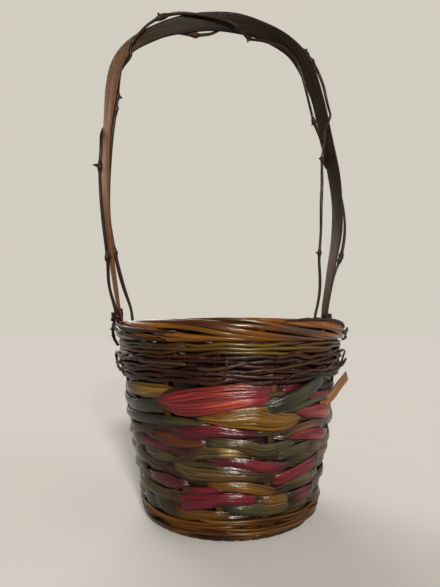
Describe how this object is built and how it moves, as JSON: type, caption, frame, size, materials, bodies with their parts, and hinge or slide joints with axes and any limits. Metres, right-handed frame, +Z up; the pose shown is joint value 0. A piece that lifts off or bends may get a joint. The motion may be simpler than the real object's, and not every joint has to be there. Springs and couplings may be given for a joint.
{
  "type": "flower girl basket",
  "caption": "Small round tapered wicker basket woven in dyed strips on flat stakes, with a rolled rim, a dark vine band and a tall fixed hoop handle wound with thorny vine.",
  "frame": {"origin": "on the floor under the middle of the base, where the foot's lowest reed stands", "axes": "+Z up through the bowl's mouth to the handle's crown; the handle's two feet lie on the X axis"},
  "size_m": [0.2062, 0.1712, 0.3806],
  "materials": {
    "stake_splint": "dry split wood, satin",
    "foot_reed": "stained reed, satin varnish",
    "strip_pink": "dyed flat reed strips, glossy",
    "strip_gold": "dyed flat reed strips, glossy",
    "strip_crimson": "dyed flat reed strips, glossy",
    "strip_sage": "dyed flat reed strips, glossy",
    "strip_khaki": "dyed flat reed strips, glossy",
    "strip_ochre": "dyed flat reed strips, glossy",
    "strip_magenta": "dyed flat reed strips, glossy",
    "vine": "dark vine with bark, satin varnish",
    "trim_reed": "stained reed, glossy varnish",
    "rim_reed": "stained reed, glossy varnish",
    "handle_splint": "stained split wood with bark, satin",
    "handle_vine": "dark thorny vine, satin"
  },
  "bodies": {
    "root": {"stake_1": "stake_splint", "stake_2": "stake_splint", "stake_3": "stake_splint", "stake_4": "stake_splint", "stake_5": "stake_splint", "stake_6": "stake_splint", "stake_7": "stake_splint", "base_reeds_lower": "foot_reed", "base_reeds_upper": "foot_reed", "foot_reed_1": "foot_reed", "foot_reed_2": "foot_reed", "foot_reed_3": "foot_reed", "foot_reed_4": "foot_reed", "foot_reed_5": "foot_reed", "foot_reeds_inner": "foot_reed", "bundle_01_pink": "strip_pink", "bundle_02_gold": "strip_gold", "bundle_03_crimson": "strip_crimson", "bundle_04_sage": "strip_sage", "bundle_05_khaki": "strip_khaki", "bundle_06_crimson": "strip_crimson", "bundle_07_khaki": "strip_khaki", "bundle_08_ochre": "strip_ochre", "bundle_09_magenta": "strip_magenta", "bundle_10_sage": "strip_sage", "vine_row_1": "vine", "vine_row_2": "vine", "vine_row_3": "vine", "vine_row_4": "vine", "vine_row_5": "vine", "vine_row_6": "vine", "vine_rows_inner": "vine", "trim_reed_1": "trim_reed", "trim_reed_2": "trim_reed", "trim_reed_3": "trim_reed", "trim_reeds_inner": "trim_reed", "rim_strand_upper": "rim_reed", "rim_strand_lower": "rim_reed", "rim_strands_inner": "rim_reed", "rim_top_front": "rim_reed", "rim_top_back": "rim_reed", "handle_splint": "handle_splint", "handle_vine_1": "handle_vine", "handle_vine_2": "handle_vine", "lashing_left": "handle_vine", "lashing_right": "handle_vine"}
  },
  "joints": []
}
